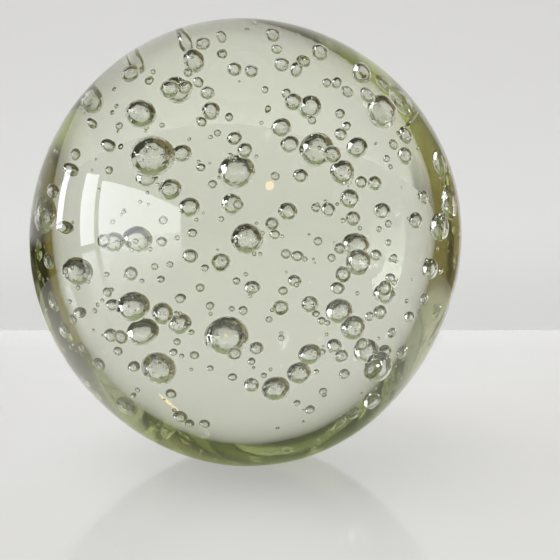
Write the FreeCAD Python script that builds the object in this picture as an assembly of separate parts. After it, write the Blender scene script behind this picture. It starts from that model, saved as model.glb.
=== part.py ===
import FreeCAD, Part
import math
import os
import random
from FreeCAD import Vector

# A solid glass paperweight, full of trapped air bubbles, that stands upright on a small ground facet.
# Millimetres. +Z is up, the front face looks along -Y, and the origin is the middle of the facet.

HALF_WIDTH = 64.0          # middle of the body to the rim
HALF_THICKNESS = 61.0      # middle of the body to the crown of the front or back face
PROFILE_POWER = 1.5        # 2 makes the body an ellipsoid; less draws its flanks in beside the rim
RIM_SOFTNESS = 0.075       # how blunt the rim is, as a share of the half thickness
OUTLINE_STEPS = 60         # points on the curve from the front crown to the back crown
CENTRE_HEIGHT = 62.6       # middle of the body above the facet
FACET_EDGE_RADIUS = 1.0    # worn edge round the ground facet

GLASS_INDEX = 1.52         # bends the lines of sight that the bubbles are placed along
EYE = Vector(8, -171, 44)  # a viewer close in front of the weight
SEEN_MIDDLE = Vector(-0.6, -3.5, 63.8)   # the seen places of the bubbles are measured from here
VIEW_TILT = math.radians(2.8)            # how far up the viewer looks
SEEN_POWER = 1.6           # the hand-shaped surface is uneven, and these bend the lines of sight
SEEN_SIDE_POWER = -0.16    # added at the two sides, and taken off at the top and bottom
SHOULDER_POWER = 0.45      # added at the upper left, where the rim is rounder
SHOULDER_AT = math.radians(118)
SHOULDER_NARROWNESS = 4    # a larger number keeps the shoulder to a shorter arc
SHOULDER_IN = 0.030        # the outline drawn in at the shoulder, as a share of the half width
ROUND_CROWN = 0.3          # the share of the half width over which the crown is still even
FINEST = 0.001             # how closely a point on the surface is found
WALL = 1.6                 # least glass between a bubble and the outside
GAP = 0.35                 # least glass between two bubbles
AIR_CLEARANCE = 0.01       # a bubble's air is this much smaller in radius than its cavity
DEPTH_STEP = 0.02          # how far a bubble moves along its line of sight when its place is taken
LAST_DEPTH = 0.86          # the deepest share of the line of sight that a bubble moves to
INWARD_STEP = 0.015        # how far a bubble moves towards the middle when it is too near the outside

SEED_COUNTS = {"upper_front": 85, "upper_back": 60, "lower_front": 85, "lower_back": 60}
SEED_DIAMETERS = (0.5, 1.4)
RANDOM_SEED = 7

MIDDLE = Vector(0, 0, CENTRE_HEIGHT)

# Bubbles as the viewer sees them: across and up from the middle of the body, share of the way
# through the glass, and seen diameter. The large ones each have a node of their own.
LARGE_BUBBLES = [
    (-28, 24, 0.42, 12.8), (-31, 36.5, 0.50, 8.8), (-3, 20, 0.62, 10.6), (0, 0, 0.40, 9.8),
    (-5.5, -29, 0.58, 12.2), (-25.5, -38.5, 0.30, 9.4), (-33, -19.5, 0.60, 10.2), (-29.5, -27, 0.74, 9.4),
    (-24.5, -22, 0.30, 6.8), (-19, -25, 0.52, 6.8), (21, 26.5, 0.55, 10.6), (19, 39, 0.56, 7.4),
    (10.5, 33, 0.44, 6.2), (40.5, 38, 0.60, 9.2), (33, 27.5, 0.66, 6.8), (28.5, 20, 0.40, 7.4),
    (32, -1, 0.58, 8.6), (33, -6.5, 0.36, 8.2), (26.5, -21.5, 0.52, 8.4), (31, -26.5, 0.34, 7.2),
    (40, -15.5, 0.62, 7.0), (34, -33.5, 0.60, 7.8), (38, -38.5, 0.52, 8.8), (18, -34.5, 0.42, 6.6),
    (15, -40, 0.36, 6.4), (8.5, -44.5, 0.30, 7.0), (-50, -8.5, 0.66, 9.8), (-39, -0.5, 0.50, 6.8),
    (-32, 0.5, 0.62, 8.8), (-22.5, 14.5, 0.34, 6.8), (-17, 9.5, 0.56, 6.4), (-20, 43.5, 0.60, 8.0),
    (-15, 52, 0.58, 6.4), (-4.5, 10.5, 0.60, 6.8), (-7.5, -7, 0.16, 5.8), (12, 8.5, 0.42, 5.8),
]
UPPER_LEFT = [
    (-22.5, 44, 0.30, 5.2), (-18, 44.5, 0.26, 4.0), (-10.5, 38, 0.40, 5.2), (-11.5, 43, 0.34, 4.0),
    (-17, 56.5, 0.60, 4.0), (-3.5, 50, 0.44, 4.2), (-45.5, 40, 0.56, 5.4), (-31.5, 50.5, 0.62, 4.4),
    (-34, 48.5, 0.40, 4.0), (-3.5, 29.5, 0.60, 4.0), (-0.5, 26, 0.34, 4.8), (-19, 25, 0.44, 5.2),
    (-29.5, 17.5, 0.72, 5.4), (-40.5, 27, 0.70, 4.6), (-51.5, 20, 0.70, 4.8), (-60, 7.5, 0.45, 6.6),
    (-53.5, 4, 0.74, 5.4), (-24.5, 5.5, 0.18, 2.8), (-16, 2, 0.50, 3.0), (-10, 16, 0.24, 2.8),
    (-40.5, 20, 0.30, 2.4), (-50.5, 24.5, 0.44, 2.8), (-8.5, 31, 0.20, 2.2), (-2.5, 10, 0.22, 3.3),
    (-12.5, 57.5, 0.40, 3.2), (-7, 59, 0.55, 2.6), (-14, 46, 0.62, 3.4), (-13, 34, 0.50, 2.8),
    (-37.5, 33, 0.24, 2.0), (-57, 14, 0.60, 3.4), (-5, 35.5, 0.48, 2.4), (-28.5, 46.5, 0.28, 2.2),
    (-17, 49, 0.30, 2.6), (-7, 54.5, 0.30, 2.6), (-45, 33, 0.66, 3.0), (-13.5, 21, 0.70, 2.6),
]
UPPER_RIGHT = [
    (14, 40.5, 0.34, 5.2), (13, 28, 0.62, 5.4), (25.5, 25, 0.24, 5.2), (10.5, 51.5, 0.44, 4.4),
    (15, 50, 0.66, 4.8), (1.5, 49.5, 0.30, 3.6), (30.5, 12.5, 0.44, 6.0), (24.5, 9.5, 0.54, 5.2),
    (20.5, 9.5, 0.28, 3.0), (31.5, 6.5, 0.30, 4.4), (40, 9.5, 0.58, 5.2), (50, 6.5, 0.40, 4.0),
    (57.5, 5, 0.50, 6.0), (60.5, 12, 0.42, 4.6), (57.5, 23.5, 0.52, 3.6), (47, 25, 0.46, 4.2),
    (47, 31, 0.40, 3.6), (46, 41.5, 0.40, 4.2), (43.5, 28, 0.24, 2.4), (41.5, 24, 0.52, 2.2),
    (36, 42.5, 0.36, 3.6), (34.5, 49, 0.58, 4.8), (28, 31, 0.34, 3.6), (34, 17.5, 0.52, 3.8),
    (38, 17, 0.38, 4.0), (16, 19, 0.60, 4.4), (8.5, 18.5, 0.22, 2.8), (7.5, 4.5, 0.20, 4.2),
    (8, 1.5, 0.52, 3.4), (42, 5, 0.26, 2.1), (52.5, 13, 0.30, 2.7), (30, 43.5, 0.30, 3.0),
    (28, 37, 0.55, 3.2), (30, 33.5, 0.70, 3.0), (9, 56, 0.36, 2.6), (22, 55, 0.50, 4.0),
    (17, 52.5, 0.24, 3.0), (12, 43, 0.60, 3.2), (24, 46, 0.40, 2.6), (5.5, 44, 0.55, 2.4),
    (41, 46, 0.30, 2.6), (8, 60, 0.50, 3.0), (19.5, 35, 0.26, 2.6), (27, 46, 0.62, 3.4),
]
LOWER_LEFT = [
    (-42, -0.5, 0.20, 3.8), (-25, -0.5, 0.44, 3.4), (-16.5, -5, 0.40, 4.8), (-34, -10, 0.30, 4.2),
    (-19, -17.5, 0.60, 3.8), (-13.5, -14.5, 0.18, 2.8), (-3, -12.5, 0.46, 2.4), (-10.5, -20, 0.34, 3.0),
    (-1, -21.5, 0.40, 3.4), (-3.5, -34, 0.16, 3.8), (-15, -34.5, 0.24, 2.7), (-20.5, -33.5, 0.60, 2.5),
    (-4, -41, 0.30, 2.4), (-32, -37.5, 0.64, 3.8), (-21.5, -46, 0.36, 2.8), (-18.5, -53, 0.44, 3.4),
    (-15.5, -55, 0.52, 2.4), (-11.5, -55, 0.40, 2.4), (-35, -50, 0.42, 4.6), (-37, -29, 0.20, 3.6),
    (-39.5, -28, 0.56, 4.6), (-43.5, -37, 0.34, 2.8), (-37.5, -33, 0.44, 2.7), (-49, -32, 0.24, 1.9),
    (-51.5, -23.5, 0.28, 1.9), (-41, -15.5, 0.30, 2.8), (-39, -18.5, 0.70, 4.4), (-49, -20.5, 0.72, 4.4),
    (-22.5, -7.5, 0.24, 2.2), (-27, -8, 0.30, 2.2), (-58.5, -6, 0.40, 2.8), (-57.5, -18, 0.36, 2.6),
    (-54, -26, 0.56, 3.4), (-20, -30.5, 0.30, 2.2), (-25, -11.5, 0.55, 2.4), (-12, -8.5, 0.66, 2.6),
]
LOWER_RIGHT = [
    (10, -20.5, 0.16, 4.6), (28.5, -10.5, 0.18, 4.8), (11.5, -4.5, 0.18, 3.3), (14.5, -5, 0.46, 3.8),
    (13.5, -12.5, 0.52, 3.8), (1.5, -14.5, 0.56, 4.2), (18, -19.5, 0.44, 5.2), (41, -14.5, 0.20, 4.0),
    (37.5, -39, 0.16, 4.4), (3, -32.5, 0.34, 4.0), (1.5, -36.5, 0.50, 2.4), (1.5, -43.5, 0.54, 4.4),
    (27.5, -35, 0.30, 3.8), (39.5, -33.5, 0.60, 4.0), (46, -34, 0.36, 3.0), (43, -28, 0.24, 2.4),
    (35.5, -49, 0.56, 4.4), (54.5, -7.5, 0.54, 5.4), (53, -17.5, 0.30, 2.4), (39, -21.5, 0.42, 4.2),
    (36, -23, 0.30, 2.8), (38, -4, 0.44, 3.6), (27.5, -2.5, 0.30, 3.6), (21, -0.5, 0.32, 3.0),
    (42, -0.5, 0.28, 1.9), (42, -10.5, 0.58, 3.2), (10.5, -15.5, 0.30, 2.8), (34, -31.5, 0.20, 3.4),
    (24.5, -32, 0.62, 4.4), (21, -24.5, 0.60, 2.6), (8, -47, 0.50, 2.6), (28, -40.5, 0.40, 3.0),
    (43.5, -5, 0.34, 2.4), (26, -14.5, 0.60, 4.4), (18, -51, 0.40, 2.4), (31, -52.5, 0.30, 2.6),
    (25, -5.5, 0.24, 2.6), (47.5, -22.5, 0.60, 3.4), (6.5, -24, 0.28, 2.0), (22, -45.5, 0.30, 2.0),
]
SMALL_BUBBLES = {"upper_left": UPPER_LEFT, "upper_right": UPPER_RIGHT,
                 "lower_left": LOWER_LEFT, "lower_right": LOWER_RIGHT}
SMALLEST_MEDIUM = 3.7      # seen diameter that parts the medium bubbles from the small ones


def rise(depth, power=PROFILE_POWER):
    """What the body's width loses at a depth, from 0 at the rim to 1 at a crown."""
    soft = RIM_SOFTNESS ** power
    top = (1 + RIM_SOFTNESS ** 2) ** (power / 2) - soft
    return ((depth ** 2 + RIM_SOFTNESS ** 2) ** (power / 2) - soft) / top


def surplus(point):
    """Below 0 inside the round body, 0 on its surface and above 0 outside."""
    across = math.hypot(point.x, point.z - CENTRE_HEIGHT) / HALF_WIDTH
    return across ** 2 + rise(abs(point.y) / HALF_THICKNESS) - 1


def uneven_surplus(point):
    """The same for the uneven surface that the viewer looks through."""
    across = math.hypot(point.x, point.z - CENTRE_HEIGHT) / HALF_WIDTH
    angle = math.atan2(point.z - CENTRE_HEIGHT, point.x)
    shoulder = max(0, math.cos(angle - SHOULDER_AT)) ** SHOULDER_NARROWNESS
    away_from_crown = min(1, across / ROUND_CROWN)
    power = SEEN_POWER + away_from_crown * (SEEN_SIDE_POWER * math.cos(2 * angle) + SHOULDER_POWER * shoulder)
    return (across / (1 - SHOULDER_IN * shoulder)) ** 2 + rise(abs(point.y) / HALF_THICKNESS, power) - 1


def outward(point, surface=surplus):
    """The direction that leads straight out of the body."""
    sides = [Vector(FINEST, 0, 0), Vector(0, FINEST, 0), Vector(0, 0, FINEST)]
    return Vector(*[surface(point + side) - surface(point - side) for side in sides]).normalize()


def glass_solid():
    """The body without its bubbles: the profile turned about Y in two halves, and cut flat to stand on."""
    points = []
    for step in range(OUTLINE_STEPS + 1):
        depth = -math.cos(math.pi * step / OUTLINE_STEPS)
        points.append(Vector(HALF_WIDTH * math.sqrt(max(0, 1 - rise(abs(depth)))), HALF_THICKNESS * depth, 0))
    profile = Part.BSplineCurve()
    profile.interpolate(Points=points, InitialTangent=Vector(1, 0, 0), FinalTangent=Vector(-1, 0, 0))
    section = Part.Face(Part.Wire([profile.toShape(), Part.LineSegment(points[-1], points[0]).toShape()]))
    upper, lower = [section.revolve(Vector(0, 0, 0), Vector(0, 1, 0), turn) for turn in (-180, 180)]
    body = upper.fuse(lower)
    body.translate(MIDDLE)
    below = Part.makeBox(4 * HALF_WIDTH, 4 * HALF_WIDTH, HALF_WIDTH,
                         Vector(-2 * HALF_WIDTH, -2 * HALF_WIDTH, -HALF_WIDTH))
    body = body.cut(below)
    facet_edges = [edge for edge in body.Edges if abs(edge.BoundBox.ZMax) < FINEST]
    return body.makeFillet(FACET_EDGE_RADIUS, facet_edges).Solids[0]


def bent_into_glass(direction, normal):
    """Snell's law for a line of sight that enters the glass."""
    share = 1 / GLASS_INDEX
    towards = -direction.dot(normal)
    depth = share * towards - math.sqrt(1 - share ** 2 * (1 - towards ** 2))
    return direction * share + normal * depth


def crossing(start, direction, inside, outside):
    """Where a line meets the surface, between a distance inside the body and one outside it."""
    while abs(outside - inside) > FINEST:
        halfway = (inside + outside) / 2
        if uneven_surplus(start + direction * halfway) < 0:
            inside = halfway
        else:
            outside = halfway
    return start + direction * inside


def seen_point(across, up, depth):
    """The point at a share of the way through the glass on the line of sight to (across, up)."""
    aim = SEEN_MIDDLE + Vector(across, -up * math.sin(VIEW_TILT), up * math.cos(VIEW_TILT))
    direction = (aim - EYE).normalize()
    entry = crossing(EYE, direction, (MIDDLE - EYE).dot(direction), 0)
    inside = bent_into_glass(direction, outward(entry, uneven_surplus))
    way_out = crossing(entry, inside, (MIDDLE - entry).dot(inside), 4 * HALF_WIDTH)
    return entry + (way_out - entry) * depth


def real_diameter(across, up, depth, seen):
    """The size of a bubble whose edges are seen that far apart."""
    shrink = 1 - seen / (2 * math.hypot(across, up)) if math.hypot(across, up) > seen else 1
    low = seen_point(across * shrink, up * shrink, depth)
    if shrink < 1:
        return 2 * (seen_point(across, up, depth) - low).Length
    return (seen_point(across + seen / 2, up, depth) - seen_point(across - seen / 2, up, depth)).Length


def inside_glass(point, radius):
    """Whether a ball has glass all round it."""
    nearest = point + outward(point) * (radius + WALL)
    return surplus(nearest) < 0 and point.z > radius + WALL


def is_free(point, radius, placed):
    return all((point - other).Length > radius + size + GAP for other, size in placed)


def place_seen(bubble, placed):
    """Places one bubble, deeper along its line of sight if another is in its way."""
    across, up, depth, seen = bubble
    radius = real_diameter(across, up, depth, seen) / 2
    while depth < LAST_DEPTH:
        point = seen_point(across, up, depth)
        while not inside_glass(point, radius):
            point = point + (MIDDLE - point) * INWARD_STEP
        if is_free(point, radius, placed):
            placed.append((point, radius))
            return point, radius
        depth += DEPTH_STEP
    raise ValueError("no room for the bubble at %g, %g" % (across, up))


def place_seed(chance, is_upper, is_front, placed):
    """Places one of the tiny seeds anywhere in its quarter of the body."""
    while True:
        radius = chance.uniform(*SEED_DIAMETERS) / 2
        point = MIDDLE + Vector(chance.uniform(-HALF_WIDTH, HALF_WIDTH),
                                chance.uniform(0, HALF_THICKNESS) * (-1 if is_front else 1),
                                chance.uniform(0, HALF_WIDTH) * (1 if is_upper else -1))
        if inside_glass(point, radius) and is_free(point, radius, placed):
            placed.append((point, radius))
            return point, radius


def bubble_groups():
    """Node name to the (middle, radius) of each bubble in it."""
    placed = []
    groups = {}
    for number, bubble in enumerate(LARGE_BUBBLES, 1):
        groups["large_bubble_%02d" % number] = [place_seen(bubble, placed)]
    for zone, bubbles in SMALL_BUBBLES.items():
        for bubble in sorted(bubbles, key=lambda entry: -entry[3]):
            size = "medium" if bubble[3] >= SMALLEST_MEDIUM else "small"
            groups.setdefault("%s_bubbles_%s" % (size, zone), []).append(place_seen(bubble, placed))
    chance = random.Random(RANDOM_SEED)
    for zone, count in SEED_COUNTS.items():
        groups["seeds_" + zone] = [place_seed(chance, "upper" in zone, "front" in zone, placed)
                                   for _ in range(count)]
    return groups


def write_node(name, shape):
    shape.exportStep("parts/%s.step" % name)
    print("%-28s %9.1f mm3, %3d solids" % (name, shape.Volume, len(shape.Solids)))


def main():
    os.makedirs("parts", exist_ok=True)
    groups = bubble_groups()
    cavities = [Part.makeSphere(radius, point) for group in groups.values() for point, radius in group]
    write_node("glass_body", glass_solid().cut(Part.Compound(cavities)))
    for name, group in groups.items():
        write_node(name, Part.Compound([Part.makeSphere(radius - AIR_CLEARANCE, point)
                                        for point, radius in group]))


main()
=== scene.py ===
import math
import random

import bmesh
import bpy
import numpy as np
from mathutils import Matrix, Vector, noise


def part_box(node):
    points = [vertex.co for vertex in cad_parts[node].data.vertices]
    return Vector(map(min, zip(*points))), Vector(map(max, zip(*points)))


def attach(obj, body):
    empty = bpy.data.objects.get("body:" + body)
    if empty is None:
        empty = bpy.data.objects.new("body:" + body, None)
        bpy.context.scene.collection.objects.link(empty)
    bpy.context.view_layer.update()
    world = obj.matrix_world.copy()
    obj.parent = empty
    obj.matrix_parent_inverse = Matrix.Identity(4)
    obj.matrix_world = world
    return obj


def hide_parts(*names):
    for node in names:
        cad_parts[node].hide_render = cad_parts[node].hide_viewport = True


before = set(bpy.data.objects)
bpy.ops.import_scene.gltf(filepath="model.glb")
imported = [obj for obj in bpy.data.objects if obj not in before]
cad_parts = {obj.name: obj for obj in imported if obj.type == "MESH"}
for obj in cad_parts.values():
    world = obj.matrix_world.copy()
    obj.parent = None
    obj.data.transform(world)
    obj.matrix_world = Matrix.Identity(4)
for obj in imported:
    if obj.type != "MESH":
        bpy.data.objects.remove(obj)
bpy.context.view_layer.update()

# A solid glass paperweight full of trapped air bubbles. The outer surface of the glass and the wall
# of every bubble are surfaces of their own, so that light bends where it meets each of them.
# Lengths are in metres. The frame's box of the glass body gives its width, thickness and height.
MM = 0.001
BODY_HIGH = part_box("glass_body")[1]
HALF_WIDTH = BODY_HIGH.x
HALF_THICKNESS = BODY_HIGH.y
MIDDLE = Vector((0, 0, BODY_HIGH.z - HALF_WIDTH))

# Body shape.
PROFILE_POWER = 1.6            # section across the body: 2 would make it an ellipse
SIDE_POWER = -0.16             # added at the two sides, and taken off at the top and bottom
SHOULDER_POWER = 0.45          # added at the upper left, where the rim is rounder
SHOULDER_AT = math.radians(118)
SHOULDER_NARROWNESS = 4        # a larger number keeps the shoulder to a shorter arc
SHOULDER_IN = 0.030            # the outline drawn in at the shoulder, as a share of the half width
ROUND_CROWN = 0.3              # the share of the half width over which the crown is still even
RIM_SOFTNESS = 0.075           # how blunt the rim is, as a share of the half thickness
LOBES = ((2, 0.0, 0.004), (3, -0.004, 0.009), (4, 0.004, 0.003))   # count, cosine and sine share
LARGEST_LOBE = 0.012           # the outline is drawn in by this share to make room for the lobes
TALLER = 1.008                 # height of the outline against its width
STEPS_ROUND = 420
STEPS_ACROSS = 190
RIM_CROWDING = 0.25            # how much closer the rings lie at the rim than at the crowns
BASE_EDGE = 0.35 * MM          # half the height of the worn edge round the ground facet
WAVE = 0.10 * MM               # how far the fire-polished surface wanders
WAVE_LENGTH = 34 * MM

# Bubble shape.
BUBBLE_DETAILS = ((2.5 * MM, 5), (1.2 * MM, 4), (0.0, 3))   # subdivisions above each radius
STRETCH = (-0.07, 0.02)        # least and most that a bubble is drawn out one way
UNEVEN = 0.015                 # depth of the dents in a bubble, as a share of its radius
DENTS = 1.1                    # how many dents there are
DENTS_INWARD = 0.6             # sets them inwards, so that little stands out past the bubble's radius
DENT_SPREAD = 50               # each bubble takes its dents from a different place in the noise
BUBBLE_SEED = 11
WELD_STEPS = 1e7               # CAD vertices that round to the same step, in steps a metre, are one
SORT_DIGITS = 6                # bubbles are put in order by their places to a micrometre

# Glass.
GLASS_INDEX = 1.52
CLEAR = (1, 1, 1, 1)
TINT = (0.54, 0.61, 0.21, 1)   # what the body lets through
TINT_DENSITY = 3.6
GRAIN_SIZE = 0.25 * MM         # of the ground facet
GRAIN_ROUGHNESS = (0.20, 0.25)   # least, and how much more the coarsest grains have
FINE = 3.0                     # finer layers of noise in the grain and the marks
SMOOTH = 0.0                   # and in the ripples
GROUND_FADE = (2 * BASE_EDGE, 0.5 * BASE_EDGE)   # heights where the grain starts and is full
MARK_SIZE = 2.2 * MM           # faint marks on the polished surface
MARK_DEPTH = 0.003 * MM
RIPPLE_SIZE = 1.0 * MM         # ripples on the walls of the bubbles
RIPPLE_DEPTH = 0.20 * MM

# The viewer stands close in front, a little below the middle of the body.
CAMERA_PLACE = Vector((8.0, -168.8, 43.7)) * MM
CAMERA_LEFT = -0.46            # degrees turned to the left
CAMERA_UP = 2.77               # degrees tipped up
CAMERA_LENS = 36.0
CAMERA_SENSOR = 36.0
CAMERA_CLIP = (0.01, 50)       # nearest and farthest that it sees

# Painted shade and painted reflections on the table and the wall stand in for a real room.
# The table and the wall. Each pair is where a shade starts to show and where it covers.
WALL_AT = 0.9                  # how far behind the body the wall stands
REACH = 6.0                    # how far the table and the wall go
DROP = -0.0002                 # the table lies this much below the facet
TABLE_ROUGHNESS = 0.11
WALL_ROUGHNESS = 0.9
STAGE_SPECULAR = 0.3
STAGE_PALE = (0.80, 0.80, 0.795, 1)
CORNER_SHADE = (0.69, 0.69, 0.69, 1)        # painted shade where the table meets the wall, for the viewer
CORNER_HEIGHT = (0.22, 0.0)
CORNER_BACK = (0.15, 0.88)
FAR_SHADE = (0.20, 0.18, 0.14, 1)          # far away, for all other light
FAR_FADE = (1.0, 2.2)
TURNED_SHADE = (0.06, 0.058, 0.036, 1)      # painted shade far away, for light turned by a bubble
TURNED_FADE = (1.20, 1.90)
CLOSE_GREEN_SHADE = (0.07, 0.10, 0.03, 1)        # painted green shade beside and before the body, for light turned by a bubble
CLOSE_FADE = (0.08, 0.0)
UNDER_BODY = (0.52, 0.58, 0.34, 1)         # the table in the body's own green shade, for reflections
UNDER_FADE = (0.075, 0.03)
LEFT_DARK_REFLECTION = (0.05, 0.04, 0.02, 1)          # painted dark reflection, low down and far to the left, for reflections
LEFT_END = (-0.56, -0.64)
LEFT_HEIGHT = (0.20, 0.14)
RIGHT_BROWN_REFLECTION = (0.30, 0.25, 0.13, 1)        # painted brown reflection far to the right, for reflections
RIGHT_END = (0.60, 0.72)

# Which light is which, by its counts of reflections and of glass surfaces passed. It counts as turned
# by a bubble when its surfaces, times its reflections plus TURNED_SHARE, come to more than TURNED_LIMIT.
ANY_TURN = 0.5                 # more reflections than this is mirrored light
MANY_TURNS = 2.5               # more than this is light that has gone round inside the rim
TURNED_SHARE = 0.4
TURNED_LIMIT = 1.2
THROUGH = (0.5, 2.5)           # between these counts of surfaces is light straight through the body

# Painted reflections: what light that has gone round inside the rim meets.
RIM_SEES_BACK = (0.40, 0.33, 0.17, 1)
RIM_SEES_LOW = (0.62, 0.60, 0.55, 1)
RIM_SEES_NEAR = (0.68, 0.72, 0.48, 1)
RIM_NEAR_FADE = (0.32, 0.18)
RIM_HORIZON = (0.055, 0.085)   # heights between the low and the back shade
RIM_HORIZON_TILT = 0.108       # how steeply those heights rise to the left
RIM_SEES_LEFT = (0.025, 0.018, 0.008, 1)
RIM_SEES_LEFT_HIGH = (0.62, 0.63, 0.60, 1)
RIM_LEFT_SIDE = (-0.24, -0.34)
RIM_LEFT_HEIGHT = (0.18, 0.32)
RIM_SEES_PATCH = (0.05, 0.038, 0.018, 1)
RIM_PATCH_FROM = (0.14, 0.24)
RIM_PATCH_TO = (0.75, 0.60)
RIM_PATCH_HEIGHT = (0.20, 0.13)

# The rest of the room. Heights and sides are parts of a unit direction.
PALE = (0.74, 0.74, 0.73, 1)   # for the viewer, and straight through the body
ROOM_DARK = (0.02, 0.017, 0.012, 1)
ROOM_RIGHT = (0.06, 0.052, 0.035, 1)
ROOM_SIDES = (-0.2, 0.9)
CEILING = (0.05, 0.048, 0.04, 1)
CEILING_HEIGHT = (0.20, 0.70)
RIM_SEES_ABOVE = (0.60, 0.58, 0.62, 1)
RIM_ABOVE_HEIGHT = (0.20, 0.45)

# Windows on the left: name, near and far end along Y, foot, head, radiance. The four lengths are
# measured from the body's middle, as shares of the distance to the window wall.
WINDOW_AT = 1.5
DAYLIGHT = (0.90, 0.94, 1.0, 1)
WINDOWS = (
    ("window_main", -1.54, -0.17, -0.04, 0.33, 5.4),
    ("window_second", -0.12, 0.04, -0.02, 0.36, 5.2),
    ("window_third", 0.27, 0.36, 0.10, 0.38, 5.2),
)

# A small warm lamp behind the viewer. Its azimuth and height are in degrees.
LAMPLIGHT = (1.0, 0.62, 0.25, 1)
LAMP_AZIMUTH = 14.7
LAMP_HEIGHT = 21.2
LAMP_AT = 1.2
LAMP_RADIUS = 0.048
LAMP_SIDES = 24
LAMP_RADIANCE = 9.0

# Soft light on the table and the wall: name, azimuth and height in degrees, strength, shadows.
SUNS = (("key", -60, 50, 0.7, True), ("fill", -20, 50, 2.63, False))
SUN_SPREAD = math.radians(70)

# Light crosses many bubble walls on its way through.
GLASS_BOUNCES = 48
GLOSSY_BOUNCES = 24


# ---------------------------------------------------------------- shapes

def rise(depth, power):
    """What the body's width loses at a depth, from 0 at the rim to 1 at a crown."""
    soft = RIM_SOFTNESS ** power
    top = (1 + RIM_SOFTNESS ** 2) ** (power / 2) - soft
    return min(1, ((depth ** 2 + RIM_SOFTNESS ** 2) ** (power / 2) - soft) / top)


def ring_radius(depth, angle):
    """Distance from the body's middle line at a depth, as a share of the half width."""
    mean = math.sqrt(1 - rise(depth, PROFILE_POWER))
    away_from_crown = min(1, mean / ROUND_CROWN)
    shoulder = max(0, math.cos(angle - SHOULDER_AT)) ** SHOULDER_NARROWNESS
    uneven_power = SIDE_POWER * math.cos(2 * angle) + SHOULDER_POWER * shoulder
    power = PROFILE_POWER + away_from_crown * uneven_power
    outline = 1 - LARGEST_LOBE - SHOULDER_IN * shoulder
    for count, cosine, sine in LOBES:
        outline += cosine * math.cos(count * angle) + sine * math.sin(count * angle)
    return min(1, outline) * math.sqrt(1 - rise(depth, power))


def soft_floor(height):
    """Height with everything below the ground plane cut flat and the cut's edge rounded."""
    if height <= -BASE_EDGE:
        return 0.0
    if height >= BASE_EDGE:
        return height
    return (height + BASE_EDGE) ** 2 / (4 * BASE_EDGE)


def body_point(depth, angle):
    """One point of the outer surface, with the slow wander of hand-shaped glass."""
    radius = HALF_WIDTH * ring_radius(abs(depth), angle)
    point = Vector((radius * math.cos(angle), HALF_THICKNESS * depth, radius * math.sin(angle) * TALLER))
    inward = (noise.noise(point / WAVE_LENGTH) - 1) / 2
    point = point * (1 + WAVE * inward / point.length) + MIDDLE
    point.z = soft_floor(point.z)
    return point


def add_object(name, mesh):
    """A smooth-shaded object for a mesh, in the scene."""
    mesh.polygons.foreach_set("use_smooth", [True] * len(mesh.polygons))
    piece = bpy.data.objects.new(name, mesh)
    bpy.context.scene.collection.objects.link(piece)
    return piece


def new_object(name, vertices, faces):
    """A smooth-shaded object made from points and faces."""
    mesh = bpy.data.meshes.new(name)
    mesh.from_pydata(vertices, [], faces)
    mesh.validate()
    return add_object(name, mesh)


def glass_surface():
    """The outer surface of the body: rings from the front crown to the back crown."""
    turns = np.linspace(0, math.pi, STEPS_ACROSS)
    turns = turns + RIM_CROWDING * np.sin(2 * turns)
    depths = list(-np.cos(turns))[1:-1]
    vertices = [body_point(-1.0, 0.0)]
    for depth in depths:
        for step in range(STEPS_ROUND):
            vertices.append(body_point(depth, 2 * math.pi * step / STEPS_ROUND))
    vertices.append(body_point(1.0, 0.0))
    last = len(vertices) - 1
    last_ring = 1 + (len(depths) - 1) * STEPS_ROUND
    faces = []
    for step in range(STEPS_ROUND):
        after = (step + 1) % STEPS_ROUND
        faces.append((0, 1 + step, 1 + after))
        faces.append((last, last_ring + after, last_ring + step))
        for ring in range(len(depths) - 1):
            near = 1 + ring * STEPS_ROUND
            far = near + STEPS_ROUND
            faces.append((near + step, far + step, far + after, near + after))
    return new_object("glass", vertices, faces)


def solids_in(node):
    """The middle and radius of each ball in a CAD node."""
    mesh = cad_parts[node].data
    count = len(mesh.vertices)
    places = np.empty(count * 3, np.float32)
    mesh.vertices.foreach_get("co", places)
    places = places.reshape(-1, 3).astype(float)
    first_at = {}
    joined = list(range(count))

    def root(index):
        while joined[index] != index:
            joined[index] = joined[joined[index]]
            index = joined[index]
        return index

    # Vertices at one place belong together, and so do the ends of an edge.
    for index, place in enumerate(np.round(places * WELD_STEPS).astype(int)):
        joined[index] = first_at.setdefault(tuple(place), index)
    for edge in mesh.edges:
        a, b = root(edge.vertices[0]), root(edge.vertices[1])
        joined[max(a, b)] = min(a, b)
    groups = {}
    for index in range(count):
        groups.setdefault(root(index), []).append(index)
    balls = []
    for members in groups.values():
        low, high = places[members].min(0), places[members].max(0)
        balls.append((Vector((low + high) / 2), float((high - low).max() / 2)))
    return sorted(balls, key=lambda ball: tuple(round(value, SORT_DIGITS) for value in ball[0]))


def bubble_detail(radius):
    """Subdivisions of the starting icosahedron that keep a bubble round at its size."""
    return next(detail for least, detail in BUBBLE_DETAILS if radius > least)


def add_bubble(surface, middle, radius, chance):
    """Adds one bubble's wall to a bmesh: a ball, slightly oval and uneven."""
    made = bmesh.ops.create_icosphere(surface, subdivisions=bubble_detail(radius), radius=1.0)
    lengthwise = Vector([chance.gauss(0, 1) for _ in range(3)]).normalized()
    oval = chance.uniform(*STRETCH)
    offset = Vector([chance.uniform(-DENT_SPREAD, DENT_SPREAD) for _ in range(3)])
    for vertex in made["verts"]:
        way = vertex.co.copy()
        along = way.dot(lengthwise)
        way = way + lengthwise * along * oval
        way = way * (1 + UNEVEN * (noise.noise(way * DENTS + offset) - DENTS_INWARD))
        vertex.co = middle + way * radius


def bubble_surfaces(node, chance):
    """One piece with the walls of all the bubbles in a CAD node, each facing its own air."""
    surface = bmesh.new()
    for middle, radius in solids_in(node):
        add_bubble(surface, middle, radius, chance)
    bmesh.ops.reverse_faces(surface, faces=surface.faces[:])
    mesh = bpy.data.meshes.new(node + "_wall")
    surface.to_mesh(mesh)
    surface.free()
    return add_object(node + "_wall", mesh)


# ---------------------------------------------------------------- shader parts

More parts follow.
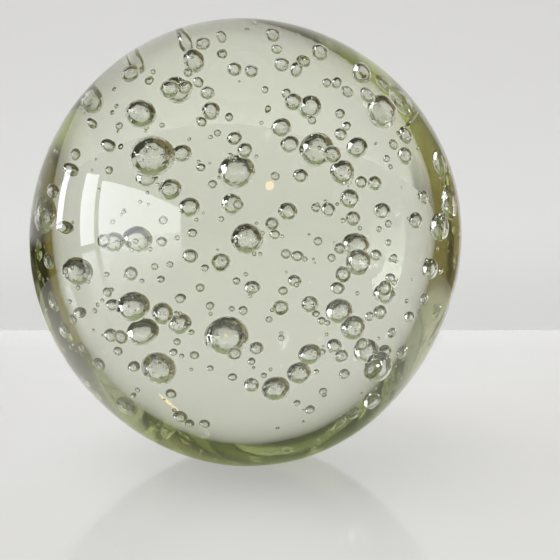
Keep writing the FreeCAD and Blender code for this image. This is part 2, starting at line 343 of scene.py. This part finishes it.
def ramp(tree, value, low, high):
    """A soft step from 0 to 1 between two values."""
    node = tree.nodes.new("ShaderNodeMapRange")
    node.interpolation_type = "SMOOTHSTEP"
    node.inputs["From Min"].default_value = low
    node.inputs["From Max"].default_value = high
    tree.links.new(value, node.inputs["Value"])
    return node.outputs[0]


def blend(tree, factor, first, second):
    """A colour between two, each a socket or a plain colour."""
    node = tree.nodes.new("ShaderNodeMix")
    node.data_type = "RGBA"
    tree.links.new(factor, node.inputs["Factor"])
    for slot, colour in (("A", first), ("B", second)):
        if isinstance(colour, bpy.types.NodeSocket):
            tree.links.new(colour, node.inputs[slot])
        else:
            node.inputs[slot].default_value = colour
    return node.outputs["Result"]


def maths(tree, operation, first, second):
    """The result of one sum, each side a socket or a number."""
    node = tree.nodes.new("ShaderNodeMath")
    node.operation = operation
    for slot, value in ((0, first), (1, second)):
        if isinstance(value, bpy.types.NodeSocket):
            tree.links.new(value, node.inputs[slot])
        else:
            node.inputs[slot].default_value = value
    return node.outputs[0]


def both(tree, *shares):
    """The share that is left where several shares all hold."""
    result = shares[0]
    for share in shares[1:]:
        result = maths(tree, "MULTIPLY", result, share)
    return result


def object_place(tree):
    return tree.nodes.new("ShaderNodeTexCoord").outputs["Object"]


def split_place(tree, place):
    """The three parts of a place or direction."""
    split = tree.nodes.new("ShaderNodeSeparateXYZ")
    tree.links.new(place, split.inputs[0])
    return split.outputs["X"], split.outputs["Y"], split.outputs["Z"]


def noise_texture(tree, place, size, detail):
    """Smooth random values whose bumps have about this size."""
    texture = tree.nodes.new("ShaderNodeTexNoise")
    texture.inputs["Scale"].default_value = 1 / size
    texture.inputs["Detail"].default_value = detail
    tree.links.new(place, texture.inputs["Vector"])
    return texture.outputs["Fac"]


def add_bump(tree, shader, height, depth):
    """Tips the surface's shading as if it rose and fell by the depth."""
    bump = tree.nodes.new("ShaderNodeBump")
    bump.inputs["Strength"].default_value = 1.0
    bump.inputs["Distance"].default_value = depth
    tree.links.new(height, bump.inputs["Height"])
    tree.links.new(bump.outputs["Normal"], shader.inputs["Normal"])


# ---------------------------------------------------------------- materials

def new_material(name):
    """A material with one principled shader."""
    material = bpy.data.materials.new(name)
    material.use_nodes = True
    nodes = material.node_tree.nodes
    nodes.clear()
    output = nodes.new("ShaderNodeOutputMaterial")
    shader = nodes.new("ShaderNodeBsdfPrincipled")
    material.node_tree.links.new(shader.outputs[0], output.inputs["Surface"])
    return material, shader


def clear_glass(name):
    """A material that bends light as this glass does."""
    material, shader = new_material(name)
    shader.inputs["Base Color"].default_value = CLEAR
    shader.inputs["Roughness"].default_value = 0.0
    shader.inputs["IOR"].default_value = GLASS_INDEX
    shader.inputs["Transmission Weight"].default_value = 1.0
    return material, shader


def glass_material():
    """Fire-polished glass with a grey-green body tint, faint marks and a finely ground base."""
    material, shader = clear_glass("glass")
    tree = material.node_tree
    tint = tree.nodes.new("ShaderNodeVolumeAbsorption")
    tint.inputs["Color"].default_value = TINT
    tint.inputs["Density"].default_value = TINT_DENSITY
    tree.links.new(tint.outputs[0], tree.get_output_node("ALL").inputs["Volume"])

    place = object_place(tree)
    height = split_place(tree, place)[2]
    least, coarsest = GRAIN_ROUGHNESS
    grain = maths(tree, "MULTIPLY", noise_texture(tree, place, GRAIN_SIZE, FINE), coarsest)
    frosted = maths(tree, "ADD", grain, least)
    ground = ramp(tree, height, *GROUND_FADE)
    tree.links.new(maths(tree, "MULTIPLY", ground, frosted), shader.inputs["Roughness"])
    add_bump(tree, shader, noise_texture(tree, place, MARK_SIZE, FINE), MARK_DEPTH)
    return material


def bubble_material():
    """The rippled wall of a bubble, seen from inside the glass."""
    material, shader = clear_glass("bubble_wall")
    tree = material.node_tree
    add_bump(tree, shader, noise_texture(tree, object_place(tree), RIPPLE_SIZE, SMOOTH), RIPPLE_DEPTH)
    return material


def room_colour(tree, spot, path):
    """What all light meets but that from round the rim: pale for the viewer, darker painted shade and
    reflections for the glass.
    """
    across, along, up, away = spot
    viewer = path.outputs["Is Camera Ray"]
    others = maths(tree, "SUBTRACT", 1.0, viewer)
    reflections = path.outputs["Glossy Depth"]
    mirrored = maths(tree, "GREATER_THAN", reflections, ANY_TURN)
    turns = maths(tree, "ADD", reflections, TURNED_SHARE)
    turns = maths(tree, "MULTIPLY", path.outputs["Transmission Depth"], turns)
    turned = maths(tree, "GREATER_THAN", turns, TURNED_LIMIT)
    # corner: painted shade where the table meets the wall, seen only by the viewer
    corner = both(tree, ramp(tree, up, *CORNER_HEIGHT), ramp(tree, along, *CORNER_BACK), viewer)
    # left: where the painted dark reflection shows, low down and far to the left
    left = both(tree, ramp(tree, across, *LEFT_END), ramp(tree, up, *LEFT_HEIGHT), mirrored)
    shades = (
        (corner, CORNER_SHADE),
        (both(tree, ramp(tree, away, *FAR_FADE), others), FAR_SHADE),
        (both(tree, ramp(tree, away, *TURNED_FADE), turned), TURNED_SHADE),
        (both(tree, ramp(tree, along, *CLOSE_FADE), turned), CLOSE_GREEN_SHADE),
        (both(tree, ramp(tree, away, *UNDER_FADE), mirrored), UNDER_BODY),
        (left, LEFT_DARK_REFLECTION),
        (both(tree, ramp(tree, across, *RIGHT_END), mirrored), RIGHT_BROWN_REFLECTION),
    )
    colour = STAGE_PALE
    for share, shade in shades:
        colour = blend(tree, share, colour, shade)
    return colour


def rim_colour(tree, spot):
    """What light that has gone round inside the rim meets, as painted reflections: the streaks and tints
    of the rim.
    """
    across, _, up, away = spot
    low = blend(tree, ramp(tree, away, *RIM_NEAR_FADE), RIM_SEES_LOW, RIM_SEES_NEAR)
    tilted = maths(tree, "ADD", up, maths(tree, "MULTIPLY", across, RIM_HORIZON_TILT))
    colour = blend(tree, ramp(tree, tilted, *RIM_HORIZON), low, RIM_SEES_BACK)
    left = blend(tree, ramp(tree, up, *RIM_LEFT_HEIGHT), RIM_SEES_LEFT, RIM_SEES_LEFT_HIGH)
    colour = blend(tree, ramp(tree, across, *RIM_LEFT_SIDE), colour, left)
    patch = both(tree, ramp(tree, across, *RIM_PATCH_FROM), ramp(tree, across, *RIM_PATCH_TO),
                 ramp(tree, up, *RIM_PATCH_HEIGHT))
    return blend(tree, patch, colour, RIM_SEES_PATCH)


def stage_material(name, roughness):
    """A surface that is pale to the viewer and, for all other light, stands in for a real room with
    painted shade and reflections.
    """
    material, shader = new_material(name)
    tree = material.node_tree
    place = object_place(tree)
    length = tree.nodes.new("ShaderNodeVectorMath")
    length.operation = "LENGTH"
    tree.links.new(place, length.inputs[0])
    spot = (*split_place(tree, place), length.outputs["Value"])
    path = tree.nodes.new("ShaderNodeLightPath")
    # light that has gone round the rim gets the painted rim reflections instead of the room's
    round_rim = maths(tree, "GREATER_THAN", path.outputs["Glossy Depth"], MANY_TURNS)
    colour = blend(tree, round_rim, room_colour(tree, spot, path), rim_colour(tree, spot))
    tree.links.new(colour, shader.inputs["Base Color"])
    shader.inputs["Roughness"].default_value = roughness
    shader.inputs["Specular IOR Level"].default_value = STAGE_SPECULAR
    return material


def light_material(name, colour, radiance):
    """A lit pane or lamp, which light that has gone round the rim doesn't meet."""
    material = bpy.data.materials.new(name)
    material.use_nodes = True
    tree = material.node_tree
    tree.nodes.clear()
    output = tree.nodes.new("ShaderNodeOutputMaterial")
    light = tree.nodes.new("ShaderNodeEmission")
    light.inputs["Color"].default_value = colour
    path = tree.nodes.new("ShaderNodeLightPath")
    direct = maths(tree, "LESS_THAN", path.outputs["Glossy Depth"], MANY_TURNS)
    tree.links.new(maths(tree, "MULTIPLY", direct, radiance), light.inputs["Strength"])
    tree.links.new(light.outputs[0], output.inputs["Surface"])
    return material


# ---------------------------------------------------------------- stage, light and camera

def plane(name, corners, material):
    piece = new_object(name, corners, [tuple(range(len(corners)))])
    piece.data.materials.append(material)
    return piece


def make_stage():
    plane("table", [(-REACH, -REACH, DROP), (REACH, -REACH, DROP), (REACH, WALL_AT, DROP),
                    (-REACH, WALL_AT, DROP)], stage_material("table", TABLE_ROUGHNESS))
    plane("wall", [(-REACH, WALL_AT, DROP), (REACH, WALL_AT, DROP), (REACH, WALL_AT, REACH),
                   (-REACH, WALL_AT, REACH)], stage_material("wall", WALL_ROUGHNESS))


def direction(azimuth, elevation):
    """Unit vector: azimuth 0 is towards -Y, growing towards +X; elevation is above the horizon."""
    a, e = math.radians(azimuth), math.radians(elevation)
    return Vector((math.sin(a) * math.cos(e), -math.cos(a) * math.cos(e), math.sin(e)))


def only_in_glass(piece):
    """Lets only reflections and light through glass find a pane or lamp."""
    piece.visible_camera = False
    piece.visible_diffuse = False
    piece.visible_shadow = False


def window(name, near, far, low, high, radiance):
    """A pane in the window wall on the left, from near to far along Y and from low to high."""
    corners = [MIDDLE + Vector((-1, along, up)) * WINDOW_AT
               for along, up in ((near, low), (far, low), (far, high), (near, high))]
    only_in_glass(plane(name, corners, light_material("window", DAYLIGHT, radiance)))


def warm_lamp():
    """A small round lamp that faces the body."""
    way = direction(LAMP_AZIMUTH, LAMP_HEIGHT)
    side = way.cross(Vector((0, 0, 1))).normalized()
    top = side.cross(way)
    corners = []
    for step in range(LAMP_SIDES):
        turn = 2 * math.pi * step / LAMP_SIDES
        spoke = side * math.cos(turn) + top * math.sin(turn)
        corners.append(MIDDLE + way * LAMP_AT + spoke * LAMP_RADIUS)
    only_in_glass(plane("lamp", corners, light_material("lamp", LAMPLIGHT, LAMP_RADIANCE)))


def sun(name, azimuth, elevation, strength, casts_shadow):
    """Soft even light on the room that glass and reflections don't show."""
    data = bpy.data.lights.new(name, "SUN")
    data.energy = strength
    data.angle = SUN_SPREAD
    data.use_shadow = casts_shadow
    light = bpy.data.objects.new(name, data)
    light.rotation_mode = "QUATERNION"
    light.rotation_quaternion = direction(azimuth, elevation).to_track_quat("Z", "Y")
    light.visible_glossy = False
    light.visible_transmission = False
    bpy.context.scene.collection.objects.link(light)


def make_lights():
    for pane in WINDOWS:
        window(*pane)
    warm_lamp()
    for light in SUNS:
        sun(*light)


def make_world():
    """A dim room with a lighter ceiling, pale to the viewer and to light straight through the body."""
    world = bpy.data.worlds.new("room")
    bpy.context.scene.world = world
    world.use_nodes = True
    tree = world.node_tree
    tree.nodes.clear()
    output = tree.nodes.new("ShaderNodeOutputWorld")
    room = tree.nodes.new("ShaderNodeBackground")
    side, _, up = split_place(tree, tree.nodes.new("ShaderNodeTexCoord").outputs["Generated"])
    path = tree.nodes.new("ShaderNodeLightPath")
    reflections = path.outputs["Glossy Depth"]
    surfaces = path.outputs["Transmission Depth"]

    colour = blend(tree, ramp(tree, side, *ROOM_SIDES), ROOM_DARK, ROOM_RIGHT)
    colour = blend(tree, ramp(tree, up, *CEILING_HEIGHT), colour, CEILING)
    round_rim = maths(tree, "GREATER_THAN", reflections, MANY_TURNS)
    above = both(tree, round_rim, ramp(tree, up, *RIM_ABOVE_HEIGHT))
    colour = blend(tree, above, colour, RIM_SEES_ABOVE)

    least, most = THROUGH
    bounces = maths(tree, "ADD", reflections, path.outputs["Diffuse Depth"])
    through = both(tree, maths(tree, "GREATER_THAN", surfaces, least),
                   maths(tree, "LESS_THAN", surfaces, most),
                   maths(tree, "LESS_THAN", bounces, ANY_TURN))
    plain = maths(tree, "MAXIMUM", path.outputs["Is Camera Ray"], through)
    tree.links.new(blend(tree, plain, colour, PALE), room.inputs["Color"])
    tree.links.new(room.outputs[0], output.inputs["Surface"])


def make_camera():
    data = bpy.data.cameras.new("camera")
    data.lens = CAMERA_LENS
    data.sensor_width = CAMERA_SENSOR
    data.clip_start, data.clip_end = CAMERA_CLIP
    camera = bpy.data.objects.new("camera", data)
    camera.location = CAMERA_PLACE
    left, up = math.radians(CAMERA_LEFT), math.radians(CAMERA_UP)
    forward = Vector((-math.sin(left) * math.cos(up), math.cos(left) * math.cos(up), math.sin(up)))
    camera.rotation_mode = "QUATERNION"
    camera.rotation_quaternion = forward.to_track_quat("-Z", "Y")
    bpy.context.scene.collection.objects.link(camera)
    bpy.context.scene.camera = camera


def make_body():
    glass = glass_surface()
    glass.data.materials.append(glass_material())
    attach(glass, "root")
    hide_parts("glass_body")


def make_bubbles():
    air = bubble_material()
    chance = random.Random(BUBBLE_SEED)
    for node in sorted(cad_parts):
        if node == "glass_body":
            continue
        wall = bubble_surfaces(node, chance)
        wall.data.materials.append(air)
        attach(wall, "root")
        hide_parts(node)


def main():
    make_camera()
    make_stage()
    make_lights()
    make_world()
    make_body()
    make_bubbles()
    scene = bpy.context.scene
    scene.view_settings.view_transform = "Standard"
    scene.cycles.max_bounces = GLASS_BOUNCES
    scene.cycles.transmission_bounces = GLASS_BOUNCES
    scene.cycles.glossy_bounces = GLOSSY_BOUNCES


main()
